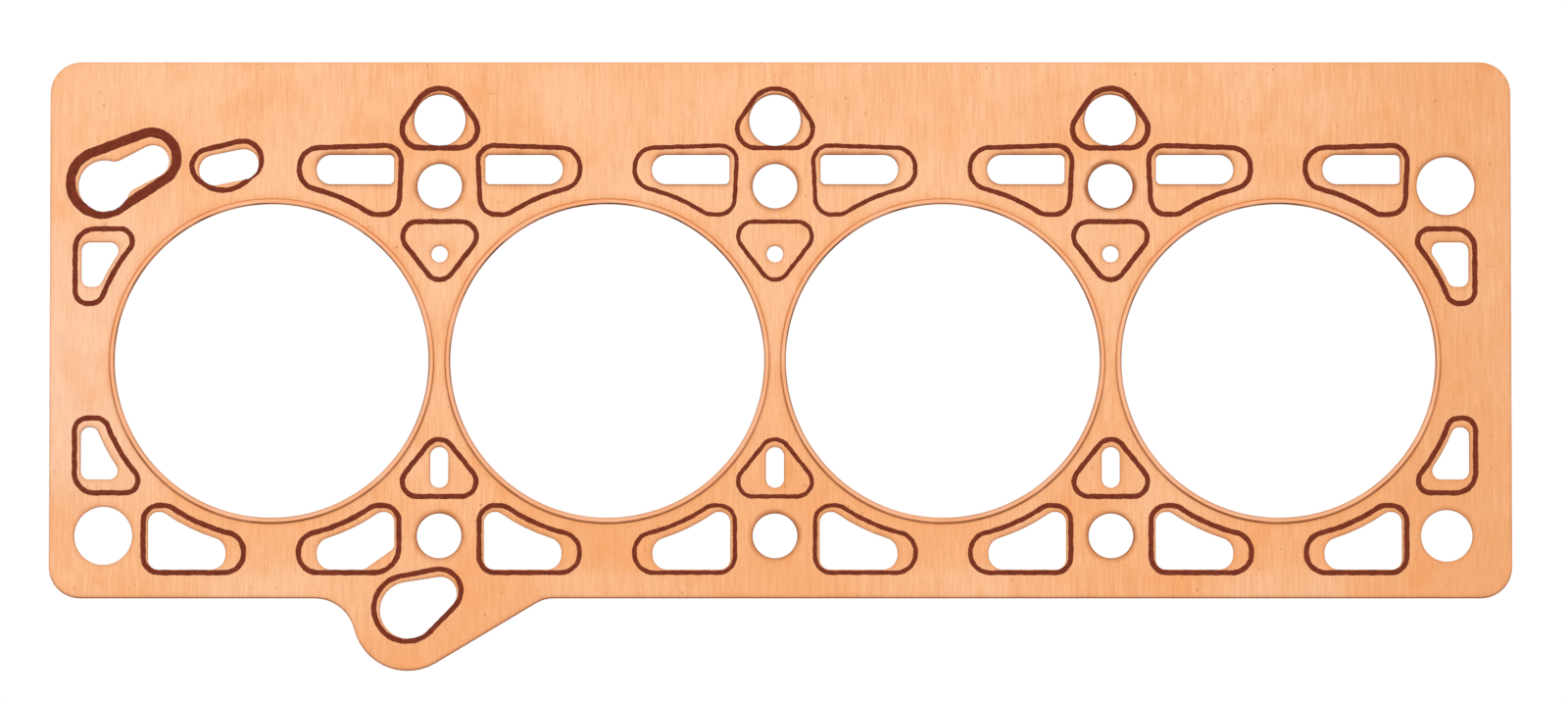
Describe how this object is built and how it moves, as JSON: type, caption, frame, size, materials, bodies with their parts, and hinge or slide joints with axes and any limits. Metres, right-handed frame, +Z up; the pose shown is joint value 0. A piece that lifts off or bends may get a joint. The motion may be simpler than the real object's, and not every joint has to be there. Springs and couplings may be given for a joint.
{
  "type": "cylinder head gasket",
  "caption": "Flat copper head gasket for an inline four, with combustion rings in its bores and printed sealing beads around its bolt, oil and coolant passages.",
  "frame": {"origin": "middle of the head bolt pattern, on the plane of the engine block's deck", "axes": "+X along the crankshaft, +Y across the engine, +Z up from the block towards the cylinder head"},
  "size_m": [0.4051, 0.1687, 0.0016],
  "materials": {
    "sheet": "bare brushed copper sheet",
    "ring": "bare copper",
    "bead": "satin brown elastomer"
  },
  "bodies": {
    "root": {"block_bridge_slot_beads": "bead", "block_drain_beads": "bead", "block_drop_bead": "bead", "block_keyhole_bead": "bead", "block_kidney_bead": "bead", "block_lower_coolant_beads": "bead", "block_lower_end_beads": "bead", "block_upper_coolant_beads": "bead", "block_upper_end_beads": "bead", "block_vent_beads": "bead", "bridge_slot_bead_1": "bead", "bridge_slot_bead_2": "bead", "bridge_slot_bead_3": "bead", "combustion_ring_1": "ring", "combustion_ring_2": "ring", "combustion_ring_3": "ring", "combustion_ring_4": "ring", "copper_sheet": "sheet", "drain_bead_1": "bead", "drain_bead_2": "bead", "drain_bead_3": "bead", "drop_bead": "bead", "keyhole_bead": "bead", "kidney_bead": "bead", "lower_coolant_bead_1": "bead", "lower_coolant_bead_2": "bead", "lower_coolant_bead_3": "bead", "lower_coolant_bead_4": "bead", "lower_coolant_bead_5": "bead", "lower_coolant_bead_6": "bead", "lower_coolant_bead_7": "bead", "lower_coolant_bead_8": "bead", "lower_end_bead_1": "bead", "lower_end_bead_2": "bead", "upper_coolant_bead_1": "bead", "upper_coolant_bead_2": "bead", "upper_coolant_bead_3": "bead", "upper_coolant_bead_4": "bead", "upper_coolant_bead_5": "bead", "upper_coolant_bead_6": "bead", "upper_coolant_bead_7": "bead", "upper_end_bead_1": "bead", "upper_end_bead_2": "bead", "vent_bead_1": "bead", "vent_bead_2": "bead", "vent_bead_3": "bead"}
  },
  "joints": []
}
